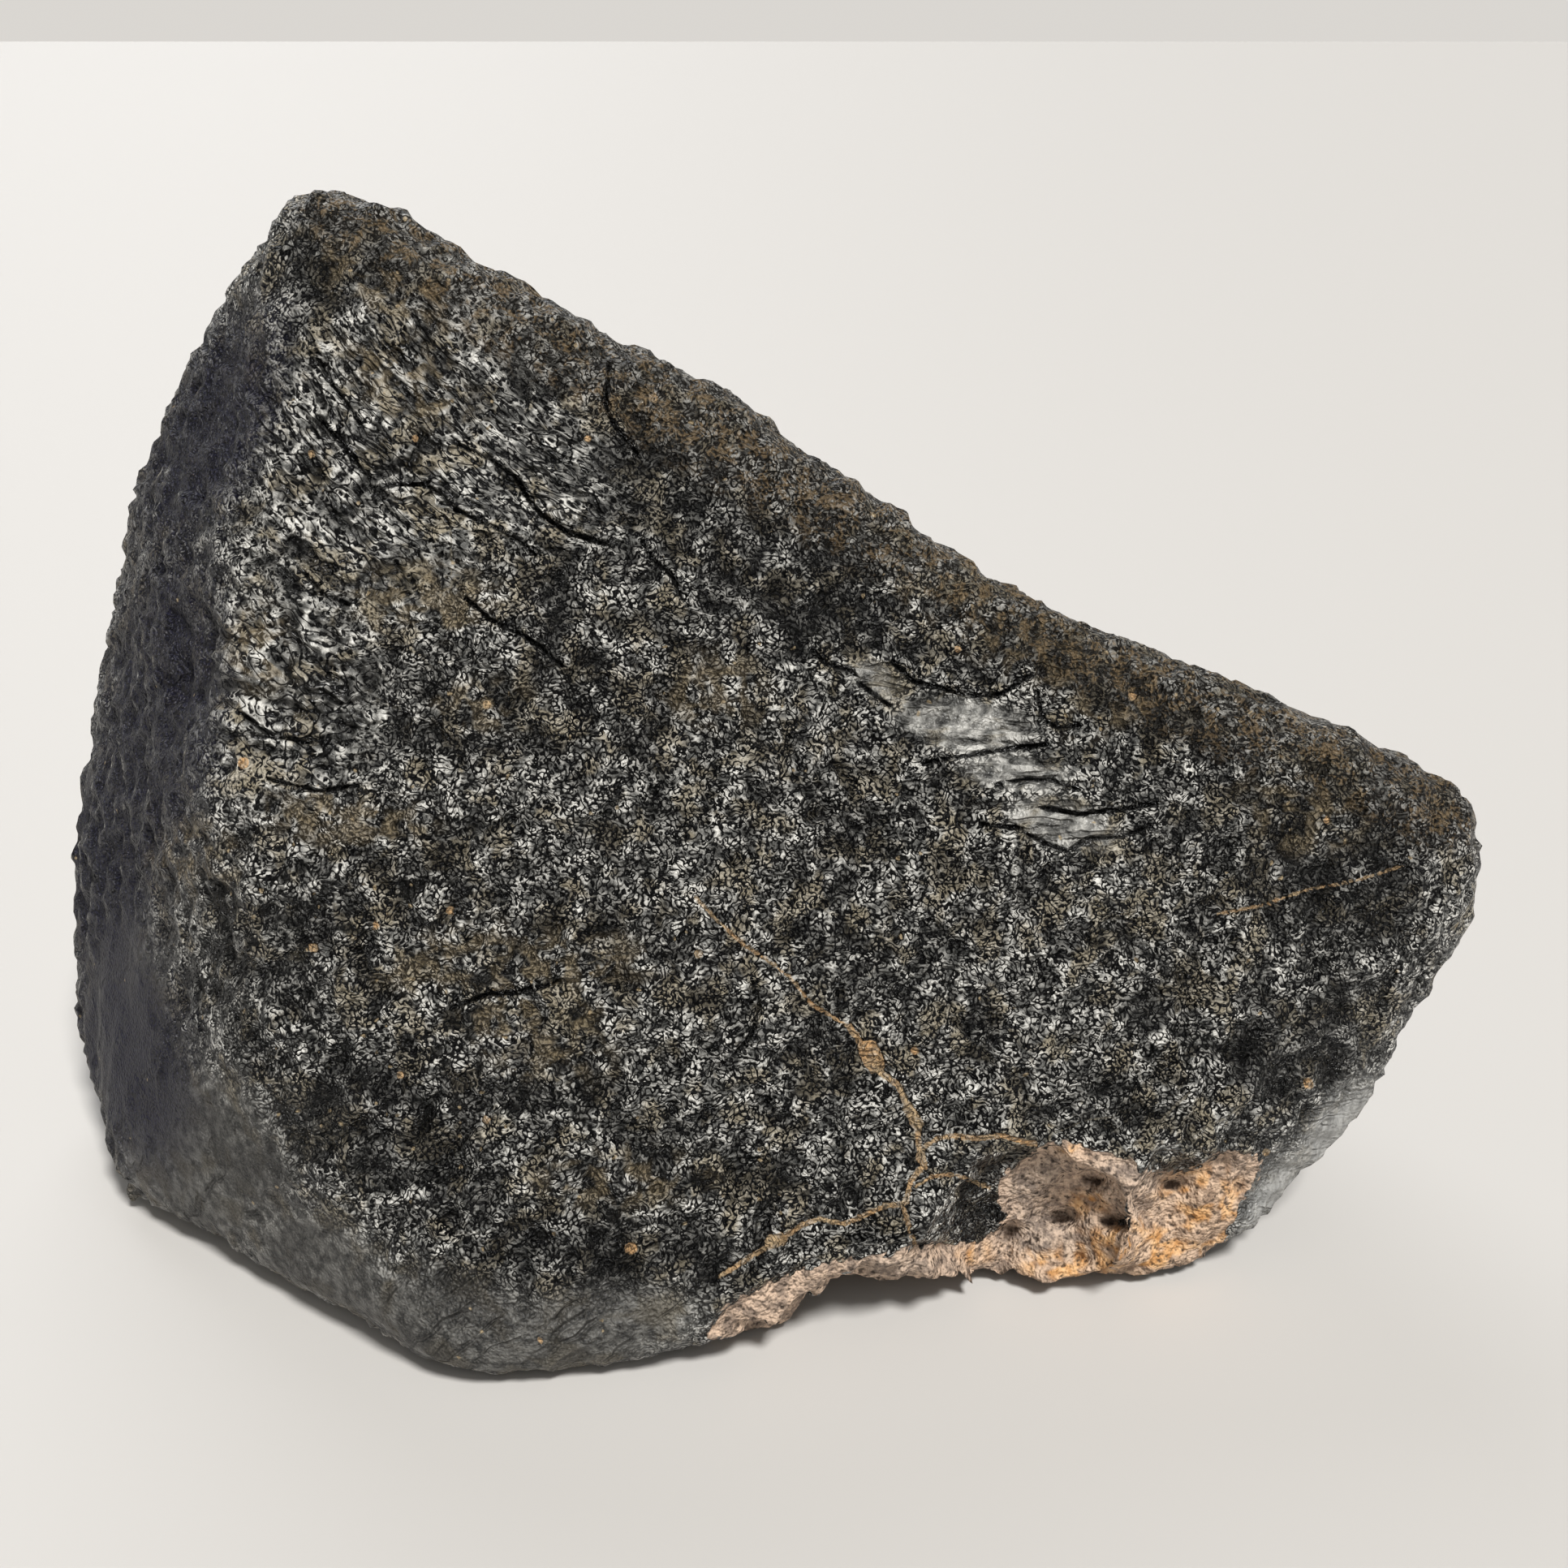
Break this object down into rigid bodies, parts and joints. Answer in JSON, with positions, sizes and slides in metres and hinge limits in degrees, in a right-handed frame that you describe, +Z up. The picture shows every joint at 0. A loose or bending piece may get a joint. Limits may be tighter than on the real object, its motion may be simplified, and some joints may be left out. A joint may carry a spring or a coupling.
{
  "type": "achondrite meteorite",
  "caption": "Wedge-shaped stony meteorite with a thin black fusion crust and a broken pale corner, resting on a small flat spot.",
  "frame": {"origin": "middle of the stone's footprint box, on the table that it rests on", "axes": "+Z up; +X along the longest side, from the tall blunt end to the low pointed end; the large crusted face looks towards -Y and leans back"},
  "size_m": [0.092, 0.0562, 0.063],
  "materials": {
    "fusion_crust": "black glassy melted crust, finely wrinkled, with tan veins; rough tan and grey stone where the corner is broken"
  },
  "bodies": {
    "root": {"meteorite_stone": "fusion_crust"}
  },
  "joints": []
}
